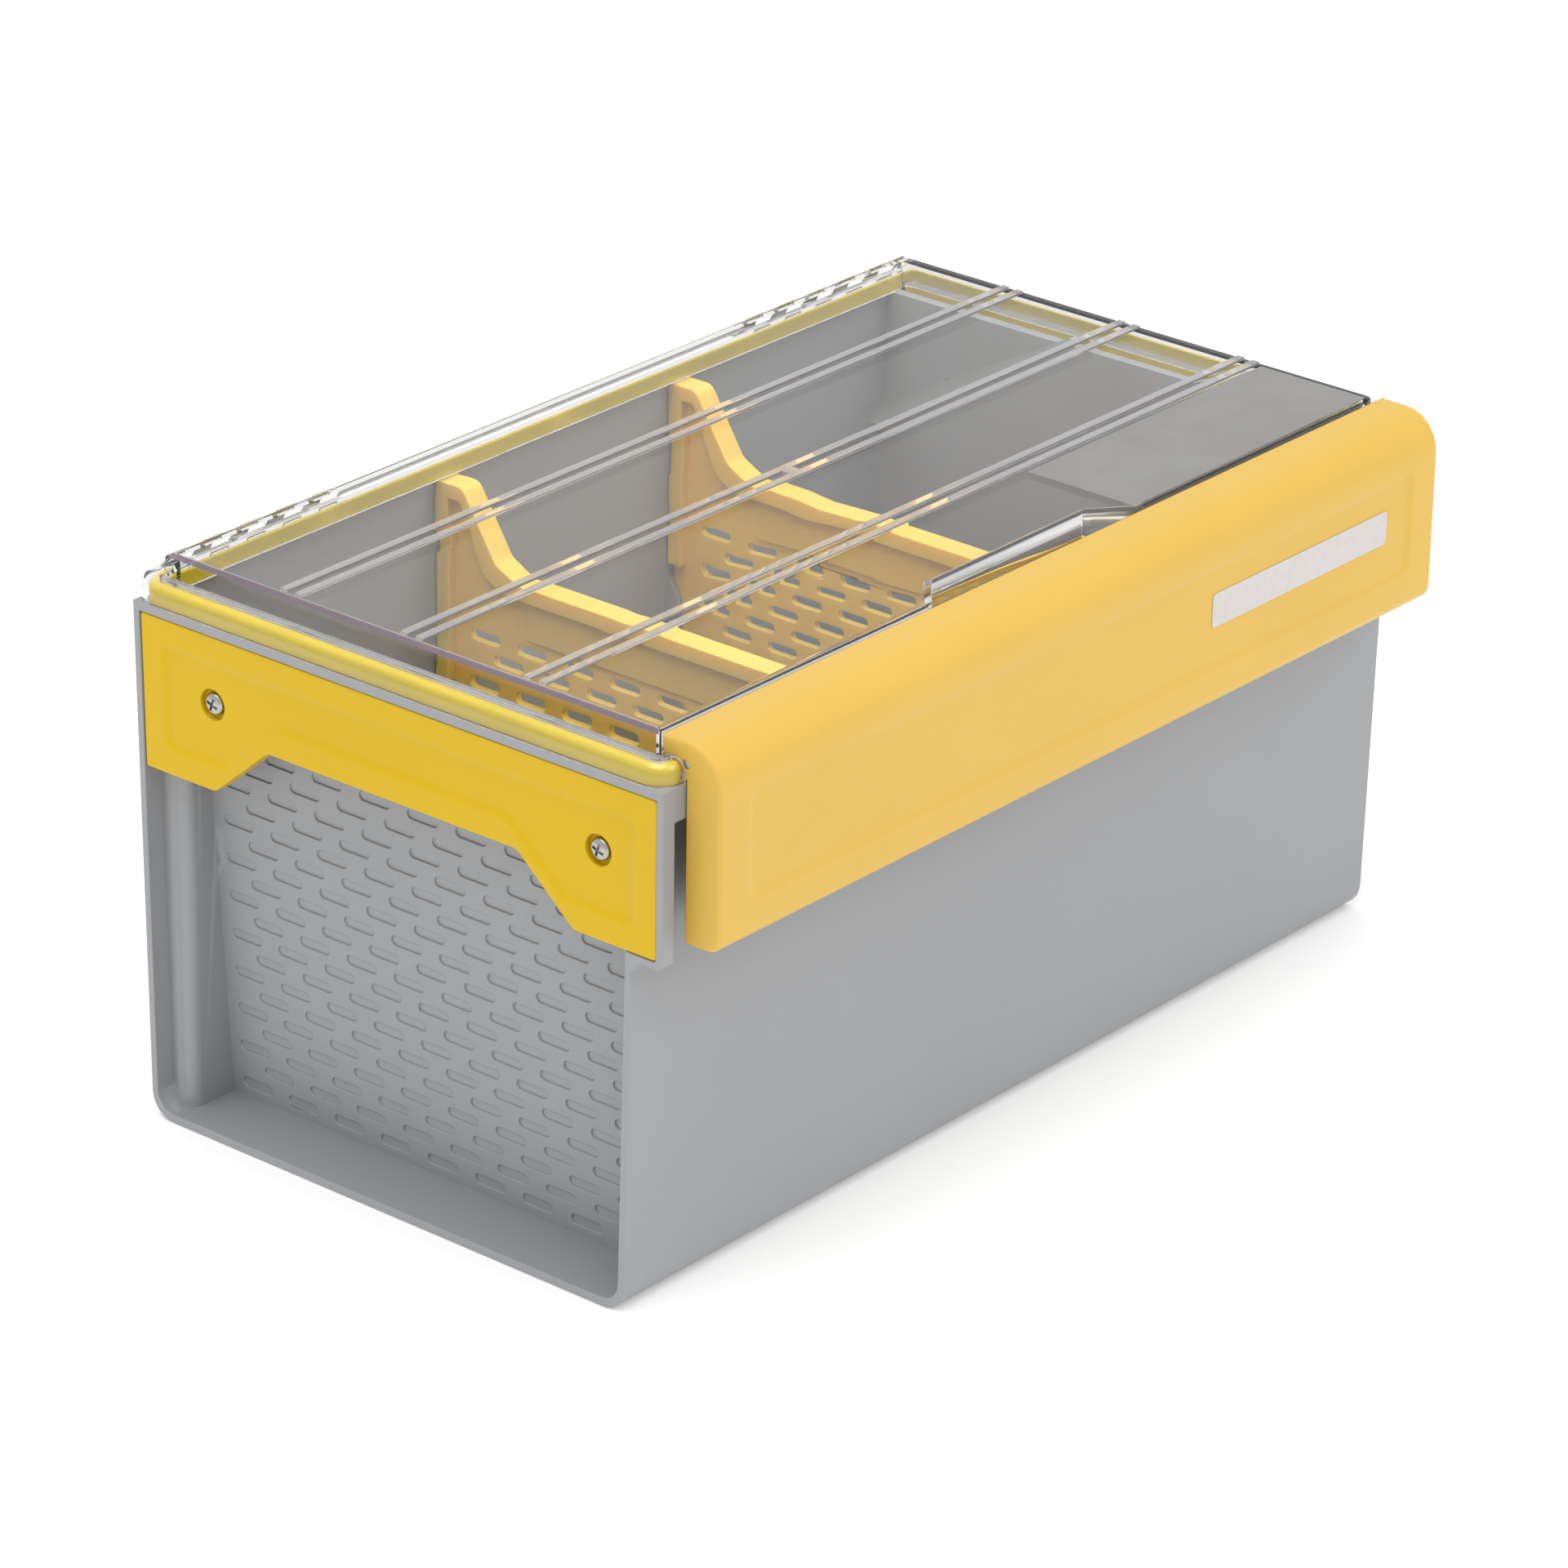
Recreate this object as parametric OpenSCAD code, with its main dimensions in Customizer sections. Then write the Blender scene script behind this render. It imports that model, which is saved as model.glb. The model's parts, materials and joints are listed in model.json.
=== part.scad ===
// Deep utility box with a clear hinged lid, a full-length front latch, two screwed-on
// end handles and two lift-out dividers. Millimetres, +Z up, +X along the long side.
// The latch side is -Y, the hinge side is +Y.

/* [Tub] */
// Length over the end rims
tub_l = 374; // [360:1:380]
// Width across the underside
floor_w = 195; // [190:1:200]
// Height of the rim that the lid closes on
rim_z = 174.3; // [173:0.1:176]
// Side wall thickness
wall_t = 2.4; // [2:0.1:3]
// Floor thickness
floor_t = 3; // [2.4:0.1:4]
// Outward lean of the long walls for each mm of height
side_draft = 0.0186; // [0.015:0.001:0.022]
// Outward lean of the end walls for each mm of height
end_draft = 0.0685; // [0.06:0.001:0.07]
// Distance from the middle to the foot of each end wall
end_foot_x = 162; // [160:0.5:164]

/* [Front frame] */
// Distance from the tub's middle plane to the front of the frame behind the latch
frame_y = 111.4; // [111:0.1:111.6]
// Lower edge of the frame's end posts
frame_z = 117.4; // [112:0.1:119]
// Width of each end post along X
post_w = 5.5; // [5:0.1:6]
// Lower edge of the lip under the lid
lip_z = 163.2; // [161:0.1:166]

/* [Lid] */
// Length of the raised panel
panel_l = 350; // [348:1:350]
// Top of the raised panel
panel_z = 187.5; // [186.5:0.1:188]
// Thickness of the clear plastic
lid_t = 2.2; // [1.8:0.1:2.4]

/* [Latch] */
// Length of the latch
latch_l = 354.6; // [350:0.1:354.8]
// Distance from the tub's middle plane to the latch's face
latch_y = 125; // [123:0.5:128]
// Lower edge of the latch
latch_z = 123.3; // [120:0.1:126]
// Radius of the latch's top front edge
latch_r = 13; // [9:1:14]
// Thickness of the latch's skin
latch_t = 2.4; // [2:0.1:2.6]

/* [Dividers] */
// Position of the left divider
divider_left_x = -51; // [-60:1:-45]
// Position of the right divider
divider_right_x = 62; // [50:1:66]
// Thickness of each divider's border
border_t = 8.5; // [5:0.5:9]
// Thickness of each divider's web
web_t = 2.4; // [2:0.2:3]

/* [Slots] */
// Length of each slot in the end walls and the dividers
slot_l = 12.4; // [10:0.1:13]
// Width of each slot
slot_w = 3.4; // [2.5:0.1:3.8]
// Distance between slots along a row
slot_pitch = 19.6; // [18:0.1:21]
// Distance between rows
row_pitch = 6.65; // [6:0.05:7]

/* [Handles] */
// Lower edge of the handle's two lobes
handle_z = 120.1; // [120.1:0.1:122]
// Lower edge of the handle at the hand cut
grip_z = 139.2; // [134:0.1:144]
// Height of the screws
screw_z = 148; // [146:0.5:150]

/* [Hidden] */
$fn = 48;
arc_steps = 6;
over = 1;

tub_x = tub_l / 2;
floor_y = floor_w / 2;
deck_t = 3;
deck_z = rim_z - deck_t;
frame_back = 98;
post_x = tub_x - post_w;
pocket_x = tub_x - 3;
ledge_z = frame_z + wall_t;
bottom_r = 9;

hinge_y = 104.3;
hinge_z = 176;
knuckle_r = 3.2;
knuckle_clearance = 0.4;
hinge_pin_r = 1.5;
lid_knuckles = [104.5, 136.5, 168.5];
tub_knuckles = [120.5, 152.5];
lid_knuckle_l = 14;
tub_knuckle_l = 17;
knuckle_gap = 0.5;
hinge_lug_r = 1.8;
hinge_lug_l = 8;
running_gap = 0.06;
fixed_gap = 0.02;

lid_x = 187.8;
lid_front = 112.2;
lid_back = 101.3;
lid_corner = 9;
skirt_z = 174.6;
ridge_z = 182.5;
valley_z = 177;
flange_z = 175;
panel_x = panel_l / 2;
panel_front = 99.6;
panel_back = 95;
hollow_back = 93.3;
seal_in = 1.6;
seal_out = 6.2;
seal_top = 180.9;
low_flange_z = 176.4;
low_flange_front = 110;
latch_bay_x = 177.6;
rib_half = 4.5;
rib_w = 3;
rib_h = 0.9;
rib_pitch = 48.75;
gate_r = 2.8;
panel_mid = (panel_back - panel_front) / 2;
notch_in = 37.5;
notch_out = 51;
notch_y = 89;

rod_y = -111.6;
rod_z = 180.3;
rod_r = 1.2;
ear_r = 3.1;
ear_w = 8;
latch_ears = [-165, -100, -35, 35, 100, 165];
latch_gussets = [-132, -66, 0, 66, 132];
gusset_w = 3;
cheek_t = 3;
latch_x = latch_l / 2;
latch_top = 187.6;
latch_edge = -102.6;
latch_back = -111.8;
label_x = [58.5, 151.2];
label_z = [150.6, 162];
label_t = 0.3;
face_panel = [164, 137, 171.5];
face_depth = 0.8;

handle_top = 171;
handle_face = tub_x - 0.4;
handle_plate_t = 2.4;
handle_body_t = 6.2;
handle_front = 108.8;
screw_y = [-85.5, 69.5];
wall_slot_depth = 0.6;
wall_slots_z = 8;
wall_slot_rows = 24;
divider_slots_z = 16.2;
divider_slot_rows = 17;
screw_head_r = 3.7;
screw_shank_r = 1.5;
screw_cross = [4.4, 0.9, 3];
screw_cross_z = 1.3;
handle_recess = 1.2;
boss_r = 5.5;
column_y = 86.4;
column_x = 180;
column_r = 4;

// The tub's middle plane moves back, so that the origin is under the middle of the whole box.
shift_y = (latch_y - hinge_y - knuckle_r) / 2;

// ---- Outline tools ----

// Points of the arc that rounds the corner a-b-c to radius r
function corner_arc(a, b, c, r) =
    r <= 0 ? [b] :
    let (
        u = (a - b) / norm(a - b),
        v = (c - b) / norm(c - b),
        half = acos(max(-1, min(1, u * v))) / 2,
        middle = b + (u + v) / norm(u + v) * r / sin(half),
        first = b + u * r / tan(half) - middle,
        last = b + v * r / tan(half) - middle,
        turn = atan2(last[1], last[0]) - atan2(first[1], first[0]),
        sweep = turn > 180 ? turn - 360 : turn < -180 ? turn + 360 : turn
    )
    [for (i = [0 : arc_steps])
        let (t = atan2(first[1], first[0]) + sweep * i / arc_steps)
        middle + r * [cos(t), sin(t)]];

// Closed outline through corners given as [x, y, radius]
function rounded(corners) =
    let (n = len(corners), p = [for (q = corners) [q[0], q[1]]])
    [for (i = [0 : n - 1])
        each corner_arc(p[(i + n - 1) % n], p[i], p[(i + 1) % n], corners[i][2])];

// Outer face of a long wall at height z
function side_y(z) = floor_y + side_draft * z;

// Outer face of an end wall at height z
function end_x(z) = end_foot_x + end_draft * (z - floor_t);

// ---- Placing tools ----

module in_frame() {
    translate([0, shift_y, 0]) children();
}

// Extrudes a Y-Z outline along X, from x0 to x1
module along_x(x0, x1) {
    translate([x0, 0, 0]) rotate([90, 0, 90]) linear_extrude(x1 - x0) children();
}

// Extrudes an X-Z outline along Y, from y0 to y1
module along_y(y0, y1) {
    translate([0, y1, 0]) rotate([90, 0, 0]) linear_extrude(y1 - y0) children();
}

module rod_x(x0, x1, r, y, z) {
    translate([x0, y, z]) rotate([0, 90, 0]) cylinder(h = x1 - x0, r = r);
}

module box(low, high) {
    translate(low) cube(high - low);
}

// Sweeps a profile, [distance in from the outer edge, z], round the lid's outline
module round_lid() {
    inner_x = lid_x - lid_corner;
    inner_front = -lid_front + lid_corner;
    inner_back = lid_back - lid_corner;
    for (s = [-1, 1]) {
        translate([s * inner_x, 0, 0]) mirror([s < 0 ? 1 : 0, 0, 0])
            along_y(inner_front, inner_back) translate([lid_corner, 0]) children();
        for (y = [inner_front, inner_back])
            translate([s * inner_x, y, 0])
                rotate([0, 0, s > 0 ? (y > 0 ? 0 : -90) : (y > 0 ? 90 : 180)])
                    rotate_extrude(angle = 90) translate([lid_corner, 0]) children();
    }
    translate([0, inner_back, 0])
        along_x(-inner_x, inner_x) translate([lid_corner, 0]) children();
    translate([0, inner_front, 0]) mirror([0, 1, 0])
        along_x(-inner_x, inner_x) translate([lid_corner, 0]) children();
}

module slot_shape() {
    square([slot_l - slot_w, slot_w], center = true);
    for (s = [-1, 1])
        translate([s * (slot_l - slot_w) / 2, 0]) circle(d = slot_w);
}

// Staggered rows of slots whose middles lie between low and high; the first row is at height first
module slot_rows(first, rows, low, high, middle) {
    for (row = [0 : rows - 1], i = [-6 : 6]) {
        along = middle + (i + (row % 2) / 2) * slot_pitch;
        if (along > low && along < high)
            translate([along, first + row * row_pitch]) slot_shape();
    }
}

// ---- Tub ----

module tub_outside() {
    top_y = side_y(rim_z);
    polygon(rounded([
        [-floor_y, 0, bottom_r], [floor_y, 0, bottom_r],
        [top_y, rim_z, 0], [-top_y, rim_z, 0]]));
}

module tub_inside(top) {
    low_y = side_y(floor_t) - wall_t;
    top_y = side_y(top) - wall_t;
    polygon(rounded([
        [-low_y, floor_t, bottom_r - wall_t], [low_y, floor_t, bottom_r - wall_t],
        [top_y, top, 0], [-top_y, top, 0]]));
}

// Step-out of the wall at each end of the front, as a Y-Z outline
module post_outline() {
    polygon(rounded([
        [-frame_back, rim_z, 0], [-frame_y, rim_z, 0], [-frame_y, frame_z, 2.6],
        [-side_y(frame_z), frame_z, 4], [-side_y(frame_z - 8), frame_z - 8, 0],
        [-frame_back, frame_z - 8, 0]]));
}

module front_frame() {
    box([-tub_x, -frame_y, deck_z], [tub_x, -frame_back, rim_z]);
    box([-tub_x, -frame_y, lip_z], [tub_x, -frame_y + wall_t, rim_z]);
    for (s = [-1, 1])
        along_x(s < 0 ? -tub_x : post_x, s < 0 ? -post_x : tub_x) post_outline();
}

module compartment() {
    top = rim_z + over;
    low_x = end_x(floor_t) - wall_t;
    high_x = end_x(top) - wall_t;
    intersection() {
        along_x(-tub_x, tub_x) tub_inside(top);
        along_y(-floor_w, floor_w)
            polygon([[-low_x, floor_t], [low_x, floor_t], [high_x, top], [-high_x, top]]);
    }
}

// Open space outside the right end wall, under the deck
module end_bay() {
    out = tub_x + over;
    intersection() {
        along_x(0, out) tub_inside(deck_z);
        along_y(-floor_w, floor_w)
            polygon([[end_x(floor_t), floor_t], [out, floor_t], [out, deck_z], [end_x(deck_z), deck_z]]);
    }
    along_x(pocket_x, out)
        polygon(rounded([
            [-frame_back + wall_t, ledge_z, 0], [-frame_back + wall_t, deck_z, 0],
            [-frame_y + wall_t, deck_z, 0], [-frame_y + wall_t, ledge_z, 1.2]]));
}

// Shallow slots in the outside of the right end wall, cut square to its lean
module end_wall_slots() {
    translate([end_foot_x, 0, floor_t]) rotate([0, atan(end_draft), 0])
        along_x(-wall_slot_depth, over)
            slot_rows(wall_slots_z - floor_t, wall_slot_rows, -88, 78, -2.6);
}

// Stiffening column and the two screw bosses in the right bay
module bay_column() {
    intersection() {
        translate([0, 0, floor_t - over]) linear_extrude(deck_z - floor_t + 2 * over)
            polygon(rounded([
                [end_foot_x, column_y, 0], [column_x, column_y, column_r],
                [column_x, frame_y, 0], [end_foot_x, frame_y, 0]]));
        along_x(0, tub_x) tub_outside();
    }
    for (y = screw_y)
        rod_x(end_x(screw_z) - over, column_x, boss_r, y, screw_z);
}

// Pair of ribs on both long walls that a divider's web drops between
module divider_guide(x) {
    rib_t = 2;
    slot = web_t + 0.6;
    top = 104;
    reach = 5;
    intersection() {
        for (side = [-1, 1], s = [-1, 1])
            along_x(x + s * (slot + rib_t) / 2 - rib_t / 2, x + s * (slot + rib_t) / 2 + rib_t / 2)
                polygon([
                    [side * (side_y(0) - wall_t - reach), floor_t - over],
                    [side * (side_y(top) - wall_t - reach), top - 9],
                    [side * side_y(top), top + 4], [side * side_y(0), floor_t - over]]);
        along_x(-tub_x, tub_x) tub_outside();
    }
}

module tub_hinge_ears() {
    for (s = [-1, 1], x = tub_knuckles) {
        x0 = s * x - tub_knuckle_l / 2;
        x1 = s * x + tub_knuckle_l / 2;
        rod_x(x0, x1, knuckle_r, hinge_y, hinge_z);
        along_x(x0, x1)
            polygon([
                [side_y(150) - over, 158], [hinge_y + knuckle_r, hinge_z - 5],
                [hinge_y + knuckle_r, hinge_z], [hinge_y - knuckle_r, hinge_z],
                [hinge_y - knuckle_r, rim_z - 2], [side_y(150) - over, rim_z - 2]]);
    }
}

module tub() {
    color("#9da0a2") in_frame() difference() {
        union() {
            difference() {
                union() {
                    along_x(-tub_x, tub_x) tub_outside();
                    front_frame();
                }
                compartment();
                end_bay();
                end_wall_slots();
                mirror([1, 0, 0]) end_bay();
                mirror([1, 0, 0]) end_wall_slots();
            }
            difference() {
                union() {
                    bay_column();
                    mirror([1, 0, 0]) bay_column();
                }
                compartment();
            }
            divider_guide(divider_left_x);
            divider_guide(divider_right_x);
            tub_hinge_ears();
        }
        for (s = [-1, 1]) {
            rod_x(s * 130 - 50, s * 130 + 50, hinge_pin_r + fixed_gap, hinge_y, hinge_z);
            for (y = screw_y)
                rod_x(s < 0 ? -column_x - over : column_x - 11, s < 0 ? -column_x + 11 : column_x + over,
                      screw_shank_r + fixed_gap, y, screw_z);
        }
    }
}

// ---- Lid ----

module ridge_profile() {
    polygon(rounded([
        [0, skirt_z, 0], [0, ridge_z, 4.8], [-7.6, ridge_z, 1.2], [-7.6, valley_z, 0.8],
        [-lid_corner + 0.2, valley_z, 0], [-lid_corner + 0.2, flange_z, 0],
        [-seal_out, flange_z, 0], [-seal_out, seal_top, 1], [-seal_in, seal_top, 3.4], [-seal_in, skirt_z, 0]]));
}

module panel_outline() {
    polygon(rounded([
        [-panel_front, flange_z, 0], [-panel_front, panel_z, 1.2], [panel_back, panel_z, 2],
        [lid_back - 0.6, ridge_z - 0.8, 2], [lid_back - 0.6, valley_z + 2, 0], [hollow_back, flange_z, 0]]));
}

module lid_ribs() {
    for (i = [-1 : 1], s = [-1, 1]) {
        y = panel_mid + i * rib_pitch + s * (rib_half - rib_w / 2);
        box([-panel_x + 0.6, y - rib_w / 2, panel_z - 0.1], [panel_x - 0.6, y + rib_w / 2, panel_z + rib_h]);
    }
}

// Mark left by the mould's gate on the middle pair of ribs
module gate_mark() {
    translate([0, panel_mid, panel_z - 0.1]) cylinder(h = rib_h + 0.1, r = gate_r);
}

module finger_notch() {
    translate([0, 0, valley_z]) linear_extrude(20)
        polygon([
            [-notch_in, -notch_y], [notch_in, -notch_y],
            [notch_out + 2, -panel_front - 2], [-notch_out - 2, -panel_front - 2]]);
}

module notch_wall() {
    translate([0, 0, flange_z]) linear_extrude(panel_z - flange_z)
        polygon([
            [-notch_in - 1, -notch_y + lid_t], [notch_in + 1, -notch_y + lid_t],
            [notch_out + 3, -panel_front], [-notch_out - 3, -panel_front]]);
}

module latch_ear(x) {
    rod_x(x - ear_w / 2, x + ear_w / 2, ear_r, rod_y, rod_z);
    along_x(x - ear_w / 2, x + ear_w / 2)
        polygon([
            [-low_flange_front, low_flange_z - 1], [-103.5, low_flange_z - 1],
            [-103.5, low_flange_z], [rod_y + 2.3, rod_z + 2], [rod_y - 2.6, rod_z - 1.6]]);
}

module lid_knuckle(x) {
    x0 = x - lid_knuckle_l / 2;
    x1 = x + lid_knuckle_l / 2;
    rod_x(x0, x1, knuckle_r, hinge_y, hinge_z);
    along_x(x0, x1)
        polygon([
            [lid_back - 1.2, skirt_z + 1], [hinge_y, hinge_z - knuckle_r + 0.4],
            [hinge_y, hinge_z + knuckle_r], [lid_back - 1.2, ridge_z - 1.5]]);
}

// Small lug on the back ridge above a knuckle
module hinge_lug(x) {
    rod_x(x - hinge_lug_l / 2, x + hinge_lug_l / 2, hinge_lug_r, lid_back - 1.9, ridge_z + 0.4);
}

module lid() {
    hollow_x = panel_x - lid_t;
    color("#e8edf0", 0.35) in_frame() difference() {
        union() {
            difference() {
                union() {
                    difference() {
                        union() {
                            round_lid() ridge_profile();
                            for (s = [-1, 1])
                                box([s < 0 ? -lid_x + 7 : panel_x - over, -lid_front + 7, flange_z],
                                    [s < 0 ? -panel_x + over : lid_x - 7, lid_back - 7, valley_z]);
                        }
                        box([-latch_bay_x, -lid_front - over, skirt_z - over],
                            [latch_bay_x, -panel_front, ridge_z + over]);
                    }
                    along_x(-panel_x, panel_x) panel_outline();
                    box([-latch_bay_x, -low_flange_front, low_flange_z - 1],
                        [latch_bay_x, -panel_front + over, low_flange_z]);
                }
                box([-hollow_x, -panel_front + lid_t, skirt_z - over],
                    [hollow_x, hollow_back, panel_z - lid_t]);
                box([-panel_x - over, lid_back - seal_out, skirt_z - over],
                    [panel_x + over, lid_back - seal_in, seal_top]);
            }
            notch_wall();
            lid_ribs();
            gate_mark();
            for (x = latch_ears) latch_ear(x);
            for (s = [-1, 1], x = lid_knuckles) lid_knuckle(s * x);
            for (s = [-1, 1], x = concat(lid_knuckles, tub_knuckles)) hinge_lug(s * x);
        }
        finger_notch();
        for (s = [-1, 1]) {
            rod_x(s * 136.5 - 50, s * 136.5 + 50, hinge_pin_r + running_gap, hinge_y, hinge_z);
            for (x = tub_knuckles) {
                x0 = s * x - tub_knuckle_l / 2 - knuckle_gap;
                x1 = s * x + tub_knuckle_l / 2 + knuckle_gap;
                rod_x(x0, x1, knuckle_r + knuckle_clearance, hinge_y, hinge_z);
                box([x0, hinge_y - knuckle_r - knuckle_clearance, skirt_z - over], [x1, hinge_y, hinge_z]);
            }
        }
        for (x = latch_ears)
            rod_x(x - ear_w, x + ear_w, rod_r + fixed_gap, rod_y, rod_z);
    }
}

// Soft ring in the lid's ridge; it drops to a thin strip along the latch
module gasket() {
    color("#e9d21f") in_frame() difference() {
        round_lid() polygon(rounded([
            [-2.3, 174.5, 0], [-2.3, 180.4, 2], [-5.9, 180.4, 0.8], [-5.9, 174.5, 0]]));
        box([-latch_bay_x - 0.3, -lid_front, 175.2], [latch_bay_x + 0.3, -panel_front, ridge_z]);
    }
}

// ---- Latch ----

module latch_outside() {
    polygon(rounded([
        [latch_edge, latch_top, 0.8], [latch_edge, 183.4, 0], [-105, 181.2, 0], [-109.5, 177.2, 0],
        [latch_back, 175.4, 0], [latch_back, latch_z, 0], [-latch_y, latch_z, 5],
        [-latch_y, latch_top, latch_r]]));
}

module latch_inside() {
    polygon(rounded([
        [latch_edge + over, latch_top - latch_t, 0], [-100, 150, 0], [latch_back + over, latch_z + latch_t, 0],
        [-latch_y + latch_t, latch_z + latch_t, 5 - latch_t],
        [-latch_y + latch_t, latch_top - latch_t, latch_r - latch_t]]));
}

module latch_gusset(x) {
    x0 = x - gusset_w / 2;
    x1 = x + gusset_w / 2;
    rod_x(x0, x1, ear_r, rod_y, rod_z);
    along_x(x0, x1)
        polygon([
            [rod_y + 3, rod_z + 0.2], [rod_y + 5.6, latch_top - latch_t + 0.3],
            [-latch_y + latch_t + 4, latch_top - latch_t + 0.1], [-latch_y + latch_t - 0.3, rod_z - 4],
            [-latch_y + latch_t - 0.3, rod_z - 12], [rod_y - 2, rod_z - 2.4]]);
}

module latch() {
    color("#f2bf4c") in_frame() difference() {
        union() {
            difference() {
                along_x(-latch_x, latch_x) latch_outside();
                along_x(-latch_x + cheek_t, latch_x - cheek_t) latch_inside();
                along_y(-latch_y - over, -latch_y + face_depth)
                    polygon(rounded([
                        [-face_panel[0], face_panel[1], 4], [face_panel[0], face_panel[1], 4],
                        [face_panel[0], face_panel[2], 4], [-face_panel[0], face_panel[2], 4]]));
            }
            box([-150, -latch_y + latch_t - 0.3, 158], [150, latch_back, 160.4]);
            for (x = latch_gussets) latch_gusset(x);
        }
        rod_x(-latch_x - over, latch_x + over, rod_r + running_gap, rod_y, rod_z);
    }
}

module latch_rod() {
    color("#c9ccd0") in_frame() rod_x(-latch_x + 0.2, latch_x - 0.2, rod_r, rod_y, rod_z);
}

module latch_label() {
    color("#e7e6e8") in_frame()
        along_y(-latch_y + face_depth - label_t, -latch_y + face_depth)
            polygon(rounded([
                [label_x[0], label_z[0], 1.6], [label_x[1], label_z[0], 1.6],
                [label_x[1], label_z[1], 1.6], [label_x[0], label_z[1], 1.6]]));
}

// ---- Hinge pins ----

module hinge_pin(side) {
    color("#c9ccd0") in_frame()
        rod_x(side * 136.5 - 38.8, side * 136.5 + 38.8, hinge_pin_r, hinge_y, hinge_z);
}

module hinge_pin_left() {
    hinge_pin(-1);
}

module hinge_pin_right() {
    hinge_pin(1);
}

// ---- Handles ----

// Y-Z outline of a handle, moved in by m all round
module handle_outline(m, front) {
    polygon(rounded([
        [97.9 - m, handle_top - m, 1 + m / 4], [front + m, handle_top - m, 1 + m / 4],
        [front + m, handle_z + m, 1 + m / 4], [-77.1 + m / 2, handle_z + m, 4],
        [-54.7 + m / 2, grip_z + m, 4], [45.7 - m / 2, grip_z + m, 4],
        [67.7 - m / 2, handle_z + m, 4], [96.9 - m, handle_z + m, 1 + m / 4]]));
}

module right_handle() {
    color("#edc92c") in_frame() difference() {
        union() {
            along_x(handle_face - handle_plate_t, handle_face) handle_outline(0, -handle_front);
            along_x(handle_face - handle_body_t, handle_face) handle_outline(0, -97);
        }
        along_x(handle_face - handle_recess, handle_face + over) handle_outline(8.5, -handle_front);
        for (y = screw_y) {
            rod_x(handle_face - 3.4, handle_face + over, 5, y, screw_z);
            rod_x(handle_face - 10, handle_face + over, screw_shank_r + 0.3, y, screw_z);
        }
    }
}

module handle_left() {
    mirror([1, 0, 0]) right_handle();
}

module handle_right() {
    right_handle();
}

module right_screw(y) {
    seat = handle_face - 3.4;
    color("#d9dadd") in_frame() translate([seat, y, screw_z]) rotate([0, 90, 0]) {
        difference() {
            rotate_extrude() polygon([
                [0, 0], [screw_head_r, 0], [screw_head_r, 0.9], [screw_head_r * 0.93, 1.5],
                [screw_head_r * 0.78, 2], [screw_head_r * 0.5, 2.4], [0, 2.6]]);
            for (a = [0, 90])
                rotate([0, 0, a + 20])
                    translate([-screw_cross[0] / 2, -screw_cross[1] / 2, screw_cross_z]) cube(screw_cross);
        }
        translate([0, 0, -13]) cylinder(h = 13.01, r = screw_shank_r);
    }
}

module handle_screw_left_front() {
    mirror([1, 0, 0]) right_screw(screw_y[0]);
}

module handle_screw_left_back() {
    mirror([1, 0, 0]) right_screw(screw_y[1]);
}

module handle_screw_right_front() {
    right_screw(screw_y[0]);
}

module handle_screw_right_back() {
    right_screw(screw_y[1]);
}

// ---- Dividers ----

// Y-Z outline of a divider, moved in by m along its top and sides
module divider_outline(m) {
    gap = 0.5;
    top = 173.6;
    dip = 146.5;
    foot = floor_t + 0.4;
    top_y = side_y(top) - wall_t - gap - m;
    foot_y = side_y(foot) - wall_t - gap - m;
    polygon(rounded([
        [-top_y, top - m, 1], [-86 - m / 6, top - m, m > 0 ? 1 : 4.5], [-72 - m, dip + 5 - m, 6],
        [-62 - m, dip - m, 6], [62 + m, dip - m, 6], [72 + m, dip + 5 - m, 6],
        [86 + m / 6, top - m, m > 0 ? 1 : 4.5], [top_y, top - m, 1],
        [foot_y, foot, bottom_r - wall_t + gap], [-foot_y, foot, bottom_r - wall_t + gap]]));
}

module divider(x) {
    border = 5.5;
    border_foot = 108;
    color("#e8b64a") in_frame() union() {
        along_x(x - web_t / 2, x + web_t / 2) difference() {
            divider_outline(0);
            slot_rows(divider_slots_z, divider_slot_rows, -81, 81, 0);
        }
        difference() {
            along_x(x - border_t / 2, x + border_t / 2) divider_outline(0);
            along_x(x - border_t, x + border_t) divider_outline(border);
            box([x - border_t, -floor_w, 0], [x + border_t, floor_w, border_foot]);
        }
        box([x - 2.1, -60, 127], [x + 2.1, 60, 143]);
    }
}

module divider_left() {
    divider(divider_left_x);
}

module divider_right() {
    divider(divider_right_x);
}

tub();
lid();
gasket();
latch();
latch_rod();
latch_label();
hinge_pin_left();
hinge_pin_right();
handle_left();
handle_right();
handle_screw_left_front();
handle_screw_left_back();
handle_screw_right_front();
handle_screw_right_back();
divider_left();
divider_right();
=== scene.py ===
"""Looks of the utility box with the clear lid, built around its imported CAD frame. Metres, +Z up."""

import json
import math

import bmesh
import bpy
from mathutils import Matrix, Vector


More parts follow.
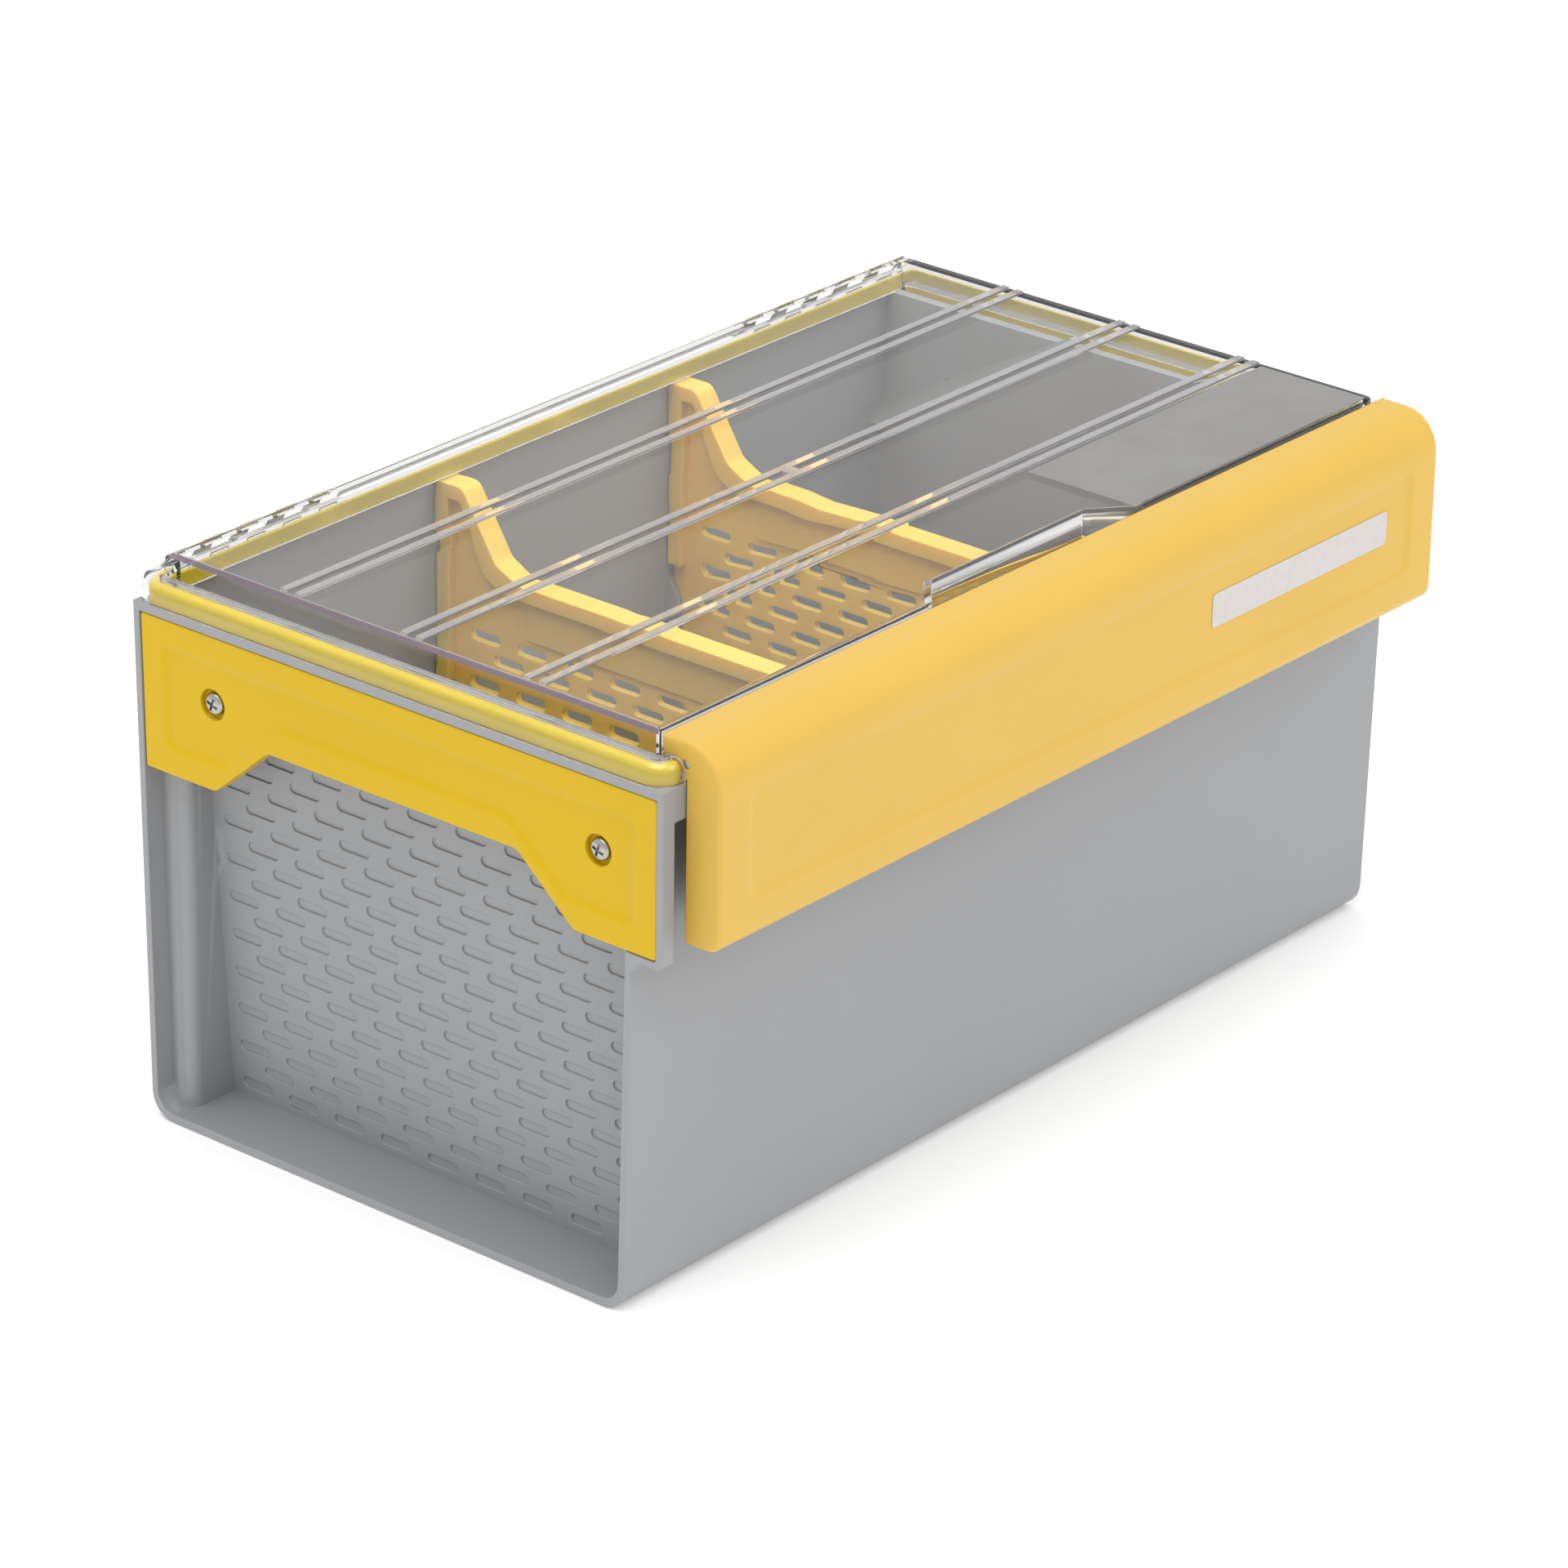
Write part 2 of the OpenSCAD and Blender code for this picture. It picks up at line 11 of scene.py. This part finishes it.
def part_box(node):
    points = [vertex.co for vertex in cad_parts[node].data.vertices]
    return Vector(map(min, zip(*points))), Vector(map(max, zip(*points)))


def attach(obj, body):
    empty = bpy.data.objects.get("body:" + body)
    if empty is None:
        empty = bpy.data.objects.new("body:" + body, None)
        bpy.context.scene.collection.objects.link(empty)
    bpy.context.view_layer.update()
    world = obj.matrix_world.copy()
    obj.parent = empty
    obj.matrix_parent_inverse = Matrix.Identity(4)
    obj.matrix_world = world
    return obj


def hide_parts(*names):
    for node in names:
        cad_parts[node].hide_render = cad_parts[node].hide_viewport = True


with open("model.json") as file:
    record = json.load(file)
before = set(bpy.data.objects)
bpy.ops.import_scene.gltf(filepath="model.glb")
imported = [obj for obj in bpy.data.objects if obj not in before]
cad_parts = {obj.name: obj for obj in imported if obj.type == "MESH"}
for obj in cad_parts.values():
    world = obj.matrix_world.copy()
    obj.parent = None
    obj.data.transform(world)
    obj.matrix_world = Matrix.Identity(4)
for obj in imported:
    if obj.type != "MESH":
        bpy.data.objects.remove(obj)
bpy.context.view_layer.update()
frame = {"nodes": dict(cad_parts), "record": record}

MM = 0.001

# ---- Sizes that the pieces share with the CAD model ----

ROW_PITCH = 6.65 * MM
WALL_SLOTS_Z, WALL_SLOT_ROWS = 8 * MM, 24
DIVIDER_SLOTS_Z, DIVIDER_SLOT_ROWS = 16.2 * MM, 17
HANDLE_RECESS = 1.2 * MM
LATCH_RECESS = 0.8 * MM
RIB_HEIGHT = 0.9 * MM
LID_THICKNESS = 2.2 * MM
SHIFT_Y = 8.75 * MM
# Front left and back right corner of the lid's frosted patch
FROST = ((50 * MM, -99.6 * MM + SHIFT_Y), (173 * MM, -57 * MM + SHIFT_Y))

# ---- Roundings added here, and limits for telling faces and edges apart ----

EDGE_STEPS = 2
RIB_ROUNDING = 0.7 * MM
END_ROUNDING = 1.4 * MM
WIDE_STEPS = 4
SLOPE_STEPS = 8
# A face has room for a bevel when it is this many radii wide
BEVEL_ROOM = 1.3
# A face with more corners than this isn't measured and counts as wide
MANY_CORNERS = 60
WELD = 0.002 * MM
CUT_MARGIN = 0.001 * MM
LEVEL_MARGIN = 0.02 * MM
RIM_MARGIN = 0.3 * MM
# Edges of the latch's rod hole lie this near to the rod
ROD_MARGIN = 3 * MM
FLAT_ANGLE = math.radians(0.25)
BEVEL_ANGLE = math.radians(30)
SMOOTH_ANGLE = math.radians(38)
# A normal's share along an axis, for a face square to it, nearly square to it or along it
SQUARE, NEARLY, ALONG = 0.99, 0.9, 0.1

# Numbers of the lid's materials, in the order of the list that it gets; the edge and rib ones carry a painted
# highlight and the left end's edge one painted shade
CLEAR, RIDGE, EDGE_PAINTED_HIGHLIGHT, RIB_PAINTED_HIGHLIGHT, LEFT_EDGE_PAINTED_SHADE, FROSTED = range(6)

# ---- Camera, floor and light ----

CAMERA_PLACE = Vector((-1.5441, -1.2678, 0.9962))
CAMERA_AZIMUTH = math.radians(-50.456)
CAMERA_ELEVATION = math.radians(24.581)
CAMERA_ROLL = math.radians(0.943)
CAMERA_LENS = 158.63
SENSOR_WIDTH = 36
ROOM_LIGHT = 0.9
# Name, place, the point that it faces, width and height, and watts
SOFTBOXES = (
    ("key", (0.9, -2.6, 2.6), (0, 0, 0.05), (2.4, 1.8), 24),
    ("overhead", (-0.7, -0.1, 2.9), (0, 0, 0.1), (2.6, 2.2), 40),
)
FLOOR_HALF = 12.0
FLOOR_WHITE = 0.92
FLOOR_GLOW = 0.14


def make_camera():
    flat = math.cos(CAMERA_ELEVATION)
    side, front = math.sin(CAMERA_AZIMUTH), -math.cos(CAMERA_AZIMUTH)
    back = Vector((side * flat, front * flat, math.sin(CAMERA_ELEVATION)))
    right = (-back).cross(Vector((0, 0, 1))).normalized()
    up = right.cross(-back)
    turned_right = math.cos(CAMERA_ROLL) * right + math.sin(CAMERA_ROLL) * up
    turned_up = math.cos(CAMERA_ROLL) * up - math.sin(CAMERA_ROLL) * right
    data = bpy.data.cameras.new("camera")
    data.lens = CAMERA_LENS
    data.sensor_width = SENSOR_WIDTH
    data.clip_start = 0.05
    data.clip_end = 60
    camera = bpy.data.objects.new("camera", data)
    turn = Matrix((turned_right, turned_up, back)).transposed()
    camera.matrix_world = Matrix.Translation(CAMERA_PLACE) @ turn.to_4x4()
    bpy.context.scene.collection.objects.link(camera)
    bpy.context.scene.camera = camera


def make_softbox(name, place, target, size, power):
    data = bpy.data.lights.new(name, "AREA")
    data.shape = "RECTANGLE"
    data.size = size[0]
    data.size_y = size[1]
    data.energy = power
    lamp = bpy.data.objects.new(name, data)
    lamp.location = place
    lamp.rotation_euler = (Vector(target) - Vector(place)).to_track_quat("-Z", "Y").to_euler()
    bpy.context.scene.collection.objects.link(lamp)


def make_studio():
    world = bpy.data.worlds.new("studio")
    world.use_nodes = True
    background = world.node_tree.nodes["Background"]
    background.inputs["Color"].default_value = (1, 1, 1, 1)
    background.inputs["Strength"].default_value = ROOM_LIGHT
    bpy.context.scene.world = world
    bpy.context.scene.view_settings.view_transform = "Standard"
    for softbox in SOFTBOXES:
        make_softbox(*softbox)
    floor_mesh = bpy.data.meshes.new("floor")
    corners = [(x * FLOOR_HALF, y * FLOOR_HALF, 0) for x, y in ((-1, -1), (1, -1), (1, 1), (-1, 1))]
    floor_mesh.from_pydata(corners, [], [(0, 1, 2, 3)])
    floor = bpy.data.objects.new("floor", floor_mesh)
    bpy.context.scene.collection.objects.link(floor)
    material = bpy.data.materials.new("floor_white")
    material.use_nodes = True
    shader = material.node_tree.nodes["Principled BSDF"]
    shader.inputs["Base Color"].default_value = (FLOOR_WHITE, FLOOR_WHITE, FLOOR_WHITE, 1)
    shader.inputs["Roughness"].default_value = 0.9
    shader.inputs["Specular IOR Level"].default_value = 0.1
    shader.inputs["Emission Color"].default_value = (1, 1, 1, 1)
    shader.inputs["Emission Strength"].default_value = FLOOR_GLOW
    floor_mesh.materials.append(material)


# ---- Materials ----


# Sockets of a colour mix node
MIX_SHARE, MIX_FIRST, MIX_SECOND, MIX_RESULT = 0, 6, 7, 2
# The part of its range that a noise mostly stays in
NOISE_LOW, NOISE_HIGH = 0.3, 0.7
MOULDING_INDEX = 1.49
MOULDING_GRAIN = 0.02 * MM
MOULDING_VARIATION = 0.03
FLOW_SHARE = 0.75


class Shader:
    """A node material with the few steps that the finishes here share."""

    def __init__(self, name):
        self.material = bpy.data.materials.new(name)
        self.material.use_nodes = True
        self.tree = self.material.node_tree
        self.bsdf = self.tree.nodes["Principled BSDF"]
        self.place = self.tree.nodes.new("ShaderNodeTexCoord").outputs["Object"]

    def put(self, value, socket):
        """Links a node's output to the socket, or sets the socket to a plain value"""
        if isinstance(value, bpy.types.NodeSocket):
            self.tree.links.new(value, socket)
        else:
            socket.default_value = value

    def node(self, kind, inputs, **settings):
        made = self.tree.nodes.new(kind)
        for key, value in settings.items():
            setattr(made, key, value)
        for socket, value in inputs.items():
            self.put(value, made.inputs[socket])
        return made

    def noise(self, scale, detail=2.0, roughness=0.5, place=None):
        """Noise that repeats about scale times to the metre"""
        inputs = {"Vector": place or self.place, "Scale": scale, "Detail": detail, "Roughness": roughness}
        return self.node("ShaderNodeTexNoise", inputs).outputs["Fac"]

    def spread(self, noise, low, high):
        """Stretches a noise to run from low to high"""
        inputs = {"Value": noise, "From Min": NOISE_LOW, "From Max": NOISE_HIGH}
        inputs.update({"To Min": low, "To Max": high})
        return self.node("ShaderNodeMapRange", inputs).outputs["Result"]

    def mix(self, share, first, second):
        inputs = {MIX_SHARE: share, MIX_FIRST: first, MIX_SECOND: second}
        return self.node("ShaderNodeMix", inputs, data_type="RGBA").outputs[MIX_RESULT]

    def math(self, operation, first, second):
        return self.node("ShaderNodeMath", {0: first, 1: second}, operation=operation).outputs[0]

    def bump(self, height, distance, strength, normal=None):
        inputs = {"Height": height, "Distance": distance, "Strength": strength}
        if normal is not None:
            inputs["Normal"] = normal
        return self.node("ShaderNodeBump", inputs).outputs["Normal"]

    def feed(self, **sockets):
        """Sets the surface shader's sockets"""
        for name, value in sockets.items():
            self.put(value, self.bsdf.inputs[name.replace("_", " ")])


def shade(colour, factor):
    """A colour made darker or lighter, with an alpha of 1"""
    return tuple(min(1.0, c * factor) for c in colour) + (1.0,)


def moulded_plastic(name, colour, roughness, gloss, glow=0.0):
    """Injection-moulded plastic: a fine grain, faint flow marks in the colour and an uneven satin finish"""
    s = Shader(name)
    flow = s.noise(9, 3, 0.6)
    speckle = s.noise(700, 2, 0.6)
    share = s.math("ADD", s.math("MULTIPLY", flow, FLOW_SHARE), s.math("MULTIPLY", speckle, 1 - FLOW_SHARE))
    dark, light = shade(colour, 1 - MOULDING_VARIATION), shade(colour, 1 + MOULDING_VARIATION)
    tint = s.mix(s.spread(share, 0, 1), dark, light)
    finish = s.spread(s.noise(38, 3, 0.55), roughness - 0.04, roughness + 0.05)
    normal = s.bump(s.noise(1500, 3, 0.7), MOULDING_GRAIN, 0.5)
    normal = s.bump(s.noise(22, 2), MOULDING_GRAIN * 8, 0.25, normal)
    s.feed(Base_Color=tint, Roughness=finish, Normal=normal, IOR=MOULDING_INDEX, Specular_IOR_Level=gloss)
    if glow:
        s.feed(Subsurface_Weight=glow, Subsurface_Scale=4 * MM, Subsurface_Radius=(1.0, 0.6, 0.15))
    return s.material


def clear_plastic(name, colour, roughness, clarity, bend=1.5):
    """Clear plastic: clarity is the share that isn't a milky body, and bend is the refractive index. On the
    frosted patch the milky body is a real haze; on the lid's ribs and edges it is a painted highlight, and on
    its left end's edge painted shade
    """
    s = Shader(name)
    haze = s.spread(s.noise(60, 3), roughness, roughness * 1.6)
    tint = s.mix(s.spread(s.noise(6, 2), 0, 1), shade(colour, 0.97), shade(colour, 1.02))
    s.feed(Base_Color=tint, Roughness=haze, Normal=s.bump(s.noise(14, 2), 0.3 * MM, 0.05))
    s.feed(Transmission_Weight=clarity, IOR=bend)
    return s.material


def bright_steel(name, colour, roughness):
    """Steel with fine streaks along X"""
    s = Shader(name)
    drawn = s.node("ShaderNodeMapping", {"Vector": s.place, "Scale": (40, 900, 900)}).outputs["Vector"]
    streaks = s.noise(1.0, 4, 0.6, drawn)
    s.feed(Base_Color=s.mix(s.spread(streaks, 0, 1), shade(colour, 0.92), shade(colour, 1.05)))
    s.feed(Metallic=1.0, Roughness=s.spread(s.noise(300, 3), roughness - 0.05, roughness + 0.08))
    s.feed(Normal=s.bump(streaks, 0.008 * MM, 0.4))
    return s.material


def seal_rubber():
    s = Shader("seal_rubber")
    tint = s.mix(s.spread(s.noise(30, 3), 0, 1), (0.56, 0.42, 0.003, 1), (0.63, 0.48, 0.006, 1))
    s.feed(Base_Color=tint, Roughness=s.spread(s.noise(120, 2), 0.3, 0.42))
    s.feed(Normal=s.bump(s.noise(300, 2), 0.01 * MM, 0.2), Subsurface_Weight=0.15, Subsurface_Scale=2 * MM)
    return s.material


def label_film():
    s = Shader("label_film")
    tint = s.mix(s.spread(s.noise(400, 3), 0, 1), (0.55, 0.515, 0.50, 1), (0.58, 0.545, 0.53, 1))
    s.feed(Base_Color=tint, Roughness=s.spread(s.noise(250, 2), 0.48, 0.6))
    s.feed(Normal=s.bump(s.noise(1200, 3), 0.01 * MM, 0.4))
    return s.material


# ---- Pieces ----


def body_of(node):
    groups = frame["record"]["behaviour"]["bodies"]
    return next(body for body, members in groups.items() if node in members)


def width_across(face, edge):
    """How far a small face reaches from one of its edges; a large face counts as wide"""
    if len(face.verts) > MANY_CORNERS:
        return math.inf
    start = edge.verts[0].co
    along = (edge.verts[1].co - start).normalized()
    return max((v.co - start - along * along.dot(v.co - start)).length for v in face.verts)


def sharp_edges(bm, radius):
    """Convex edges whose faces leave room for a bevel of this radius"""
    sharp = [e for e in bm.edges if len(e.link_faces) == 2 and e.calc_face_angle_signed(0) > BEVEL_ANGLE]
    return [e for e in sharp if all(width_across(f, e) > BEVEL_ROOM * radius for f in e.link_faces)]


def round_edges(bm, edges, radius, steps, finish=-1):
    """Bevels edges; finish numbers the new faces' material, and -1 keeps that of the faces beside them"""
    bmesh.ops.bevel(bm, geom=edges, offset=radius, segments=steps, profile=0.5, affect="EDGES",
                    clamp_overlap=False, loop_slide=True, material=finish)


def cut(bm, faces, axis, place):
    """Cuts faces along the plane at place on axis and returns the new edges"""
    parts = dict.fromkeys(part for f in faces for part in (f, *f.edges, *f.verts))
    point = Vector((0, 0, 0))
    point[axis] = place
    normal = Vector((0, 0, 0))
    normal[axis] = 1
    made = bmesh.ops.bisect_plane(bm, geom=list(parts), dist=CUT_MARGIN, plane_co=point, plane_no=normal)
    return [part for part in made["geom_cut"] if isinstance(part, bmesh.types.BMEdge)]


def cut_between_rows(bm, first, rows):
    """Seams between the rows of slots, so that no single face holds them all"""
    for row in range(rows):
        height = first + (row + 0.5) * ROW_PITCH
        walls = [f for f in bm.faces if abs(f.normal.x) > SQUARE
                 and min(v.co.z for v in f.verts) < height < max(v.co.z for v in f.verts)]
        for edge in cut(bm, walls, 2, height):
            edge.seam = True


def chains_of(edges):
    """Closed chains of vertices along these edges"""
    left = dict.fromkeys(edges)
    chains = []
    while left:
        edge = next(iter(left))
        del left[edge]
        chain = list(edge.verts)
        while chain[-1] is not chain[0]:
            step = next(e for e in chain[-1].link_edges if e in left)
            del left[step]
            chain.append(step.other_vert(chain[-1]))
        chains.append(chain[:-1])
    return chains


def offset_loop(points, distance):
    """A closed plane loop moved in by distance"""
    area = sum(a.x * b.y - b.x * a.y for a, b in zip(points, points[1:] + points[:1]))
    turn = 1 if area > 0 else -1
    moved = []
    for before, here, after in zip(points[-1:] + points[:-1], points, points[1:] + points[:1]):
        first, second = (Vector((-d.y, d.x)).normalized() * turn for d in (here - before, after - here))
        corner = first + second
        moved.append(here + corner * (distance / corner.dot(first)))
    return moved


def soften_recess(bm, axis, face_level, floor_level, outward, inward):
    """Turns the wall round a recess into a soft S-shaped slope that reaches outward and inward from it"""
    def flat_at(face, level):
        return abs(face.normal[axis]) > SQUARE and abs(face.calc_center_median()[axis] - level) < LEVEL_MARGIN

    def beside(edge, group):
        return any(f in group for f in edge.link_faces)

    tops = [f for f in bm.faces if flat_at(f, face_level)]
    floors = [f for f in bm.faces if flat_at(f, floor_level)]
    walls = [f for f in bm.faces if f not in tops + floors and any(beside(e, tops) for e in f.edges)
             and any(beside(e, floors) for e in f.edges)]
    rim = [e for f in walls for e in f.edges if beside(e, tops)]
    chain = chains_of(rim)[0]
    old = tops + floors + walls
    outer = [e for f in tops for e in f.edges if not all(n in old for n in e.link_faces)]
    holes = [e for f in floors for e in f.edges if not all(n in old for n in e.link_faces)]
    across = [i for i in range(3) if i != axis]
    points = [Vector((v.co[across[0]], v.co[across[1]])) for v in chain]
    bmesh.ops.delete(bm, geom=old, context="FACES")
    rings = []
    for step in range(SLOPE_STEPS + 1):
        share = step / SLOPE_STEPS
        level = face_level + (floor_level - face_level) * (3 * share ** 2 - 2 * share ** 3)
        ring = []
        for point in offset_loop(points, -outward + (outward + inward) * share):
            place = Vector((0, 0, 0))
            place[axis], place[across[0]], place[across[1]] = level, point.x, point.y
            ring.append(bm.verts.new(place))
        rings.append([bm.edges.new((a, b)) for a, b in zip(ring, ring[1:] + ring[:1])])
        if step:
            count = len(ring)
            for i in range(count):
                bm.faces.new((last[i], last[(i + 1) % count], ring[(i + 1) % count], ring[i]))
        last = ring
    facing = Vector((0, 0, 0))
    facing[axis] = 1
    around = (outer + rings[0], face_level, rings[0])
    within = (holes + rings[-1], floor_level, holes)
    for edges, level, inner in (around, within):
        bmesh.ops.triangle_fill(bm, use_beauty=True, use_dissolve=False, edges=edges, normal=facing)
        bm.normal_update()
        # A face can't have a hole in it, so it is cut at the middle of each hole
        middles = []
        for hole in chains_of(inner):
            spots = [v.co[across[0]] for v in hole]
            middles.append((min(spots) + max(spots)) / 2)
        seams = []
        for middle in middles:
            seams += cut(bm, [f for f in bm.faces if flat_at(f, level)], across[0], middle)
        flat = [f for f in bm.faces if flat_at(f, level)]
        inside = [e for e in dict.fromkeys(e for f in flat for e in f.edges)
                  if e not in seams and all(f in flat for f in e.link_faces)]
        bmesh.ops.dissolve_limit(bm, angle_limit=FLAT_ANGLE, edges=inside, verts=[])
    bmesh.ops.recalc_face_normals(bm, faces=bm.faces)


def moulded_piece(node, materials, edge, ready=None, prepare=None, edge_finish=-1):
    """A new piece on a CAD node's shape, with its sharp edges rounded to a radius of about edge

    ready works on the mesh as it comes, and prepare once its flat faces are joined up
    """
    bm = bmesh.new()
    bm.from_mesh(frame["nodes"][node].data)
    bmesh.ops.remove_doubles(bm, verts=bm.verts, dist=WELD)
    if ready:
        ready(bm)
    bmesh.ops.dissolve_limit(bm, angle_limit=FLAT_ANGLE, verts=bm.verts, edges=bm.edges, delimit={"SEAM"})
    for face in bm.faces:
        face.material_index = 0
    if prepare:
        prepare(bm)
    round_edges(bm, sharp_edges(bm, edge), edge, EDGE_STEPS, edge_finish)
    made = bpy.data.meshes.new(node + "_shape")
    bm.to_mesh(made)
    bm.free()
    made.shade_smooth()
    made.set_sharp_from_angle(angle=SMOOTH_ANGLE)
    for material in materials:
        made.materials.append(material)
    piece = bpy.data.objects.new(node + "_moulding", made)
    bpy.context.scene.collection.objects.link(piece)
    weighted = piece.modifiers.new("even_normals", "WEIGHTED_NORMAL")
    weighted.keep_sharp = True
    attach(piece, body_of(node))
    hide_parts(node)
    return piece


def cut_tub(bm):
    cut_between_rows(bm, WALL_SLOTS_Z, WALL_SLOT_ROWS)


def cut_divider(bm):
    cut_between_rows(bm, DIVIDER_SLOTS_Z, DIVIDER_SLOT_ROWS)


def soften_handle(bm):
    """A soft slope round the outer face's recess"""
    face = max((v.co.x for v in bm.verts), key=abs)
    soften_recess(bm, 0, face, face - math.copysign(HANDLE_RECESS, face), outward=1.2 * MM, inward=2.4 * MM)


def soften_latch(bm):
    """A soft slope round the face's recess, and the ends' front edges well rounded"""
    face = min(v.co.y for v in bm.verts)
    soften_recess(bm, 1, face, face + LATCH_RECESS, outward=1.4 * MM, inward=2.6 * MM)
    end = max(v.co.x for v in bm.verts)
    rod_y, rod_z = (sum(p) / 2 for p in list(zip(*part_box("latch_rod")))[1:])
    outer = []
    for e in sharp_edges(bm, END_ROUNDING):
        middle = (e.verts[0].co + e.verts[1].co) / 2
        if any(abs(abs(v.co.x) - end) > LEVEL_MARGIN for v in e.verts):
            continue
        if math.hypot(middle.y - rod_y, middle.z - rod_z) < ROD_MARGIN:
            continue
        side = min(e.link_faces, key=lambda f: abs(f.normal.x))
        leans_forward, is_level = side.normal.y < -0.05, abs(side.normal.z) > 0.95
        if leans_forward or is_level:
            outer.append(e)
    round_edges(bm, outer, END_ROUNDING, WIDE_STEPS)


def finish_lid(bm):
    """Rounded ribs, and a finish for each sort of face: flat, ridge, rib (painted highlight), edge (painted
    highlight), left end's edge (painted shade) or frosted
    """
    top = max(v.co.z for v in bm.verts)
    panel = top - RIB_HEIGHT
    ceiling = panel - LID_THICKNESS
    upright = [f for f in bm.faces if abs(f.normal.z) < ALONG]
    walls = [f for f in upright if abs(max(v.co.z for v in f.verts) - panel) < RIM_MARGIN]
    cut(bm, walls, 2, ceiling)
    low, high = FROST
    for axis, place in ((0, low[0]), (0, high[0]), (1, high[1])):
        level = [f for f in bm.faces if f.normal.z > SQUARE]
        cut(bm, [f for f in level if abs(f.calc_center_median().z - panel) < LEVEL_MARGIN], axis, place)
    for face in bm.faces:
        middle = face.calc_center_median()
        if middle.z > panel + LEVEL_MARGIN:
            # Rib tops get the milky rib finish, a painted highlight
            face.material_index = RIB_PAINTED_HIGHLIGHT
        elif abs(face.normal.z) < ALONG and middle.z > ceiling:
            # Upright faces at the panel's height: the left end's get a dark tint as painted shade for the
            # refraction band, the rest a milky painted highlight
            face.material_index = LEFT_EDGE_PAINTED_SHADE if face.normal.x < -NEARLY else EDGE_PAINTED_HIGHLIGHT
        elif abs(face.normal.z) < SQUARE or middle.z < ceiling - LEVEL_MARGIN:
            face.material_index = RIDGE
        elif (middle.z > panel - LEVEL_MARGIN
              and low[0] < middle.x < high[0] and low[1] < middle.y < high[1]):
            face.material_index = FROSTED
        else:
            face.material_index = CLEAR
    ribs = [e for e in sharp_edges(bm, RIB_ROUNDING) if all(v.co.z > top - LEVEL_MARGIN for v in e.verts)]
    # The ribs' rounded edges get the edge finish, a painted highlight
    round_edges(bm, ribs, RIB_ROUNDING, WIDE_STEPS, EDGE_PAINTED_HIGHLIGHT)


# ---- The scene ----

make_camera()
make_studio()

grey = moulded_plastic("grey_plastic", (0.305, 0.312, 0.324), roughness=0.45, gloss=0.35)
lemon = moulded_plastic("lemon_plastic", (0.63, 0.41, 0.004), roughness=0.4, gloss=0.25, glow=0.1)
warm = moulded_plastic("warm_yellow_plastic", (0.65, 0.415, 0.07), roughness=0.38, gloss=0.35, glow=0.15)
amber = moulded_plastic("amber_plastic", (0.86, 0.57, 0.10), roughness=0.45, gloss=0.3, glow=0.7)
drawn = bright_steel("drawn_steel", (0.62, 0.62, 0.64), roughness=0.25)
plated = bright_steel("plated_steel", (0.43, 0.42, 0.405), roughness=0.16)
# The lid's finishes: name, colour, roughness, clarity and bend
clear = [
    clear_plastic("clear_plastic", (0.98, 0.98, 0.98), 0.006, 0.98, 1.15),
    clear_plastic("clear_plastic_ridge", (1.0, 1.0, 0.99), 0.004, 0.995, 1.4),
    # Milky white share: a painted highlight along the lid's edges and bevels
    clear_plastic("clear_plastic_edge_painted_highlight", (0.90, 0.88, 0.90), 0.02, 0.8),
    # Milky light-grey share: a painted highlight on the ribs
    clear_plastic("clear_plastic_rib_painted_highlight", (0.82, 0.80, 0.81), 0.02, 0.7, 1.25),
    # Dark purple tint: painted shade standing in for the refraction band on the left end's edge
    clear_plastic("clear_plastic_left_edge_painted_shade", (0.27, 0.21, 0.28), 0.03, 0.15),
    clear_plastic("frosted_plastic", (0.25, 0.245, 0.24), 0.4, 0.1),
]

moulded_piece("tub", [grey], edge=0.3 * MM, ready=cut_tub)
# The lid's new bevel faces get the edge finish, a painted highlight
cover = moulded_piece("lid", clear, edge=0.3 * MM, prepare=finish_lid, edge_finish=EDGE_PAINTED_HIGHLIGHT)
cover.visible_shadow = False
moulded_piece("gasket", [seal_rubber()], edge=0.3 * MM)
moulded_piece("latch", [warm], edge=0.5 * MM, prepare=soften_latch)
moulded_piece("latch_label", [label_film()], edge=0.08 * MM)
for side in ("left", "right"):
    moulded_piece("handle_" + side, [lemon], edge=0.4 * MM, prepare=soften_handle)
    moulded_piece("divider_" + side, [amber], edge=0.35 * MM, ready=cut_divider)
    moulded_piece("hinge_pin_" + side, [drawn], edge=0.2 * MM)
    for end in ("front", "back"):
        moulded_piece(f"handle_screw_{side}_{end}", [plated], edge=0.08 * MM)
moulded_piece("latch_rod", [drawn], edge=0.2 * MM)
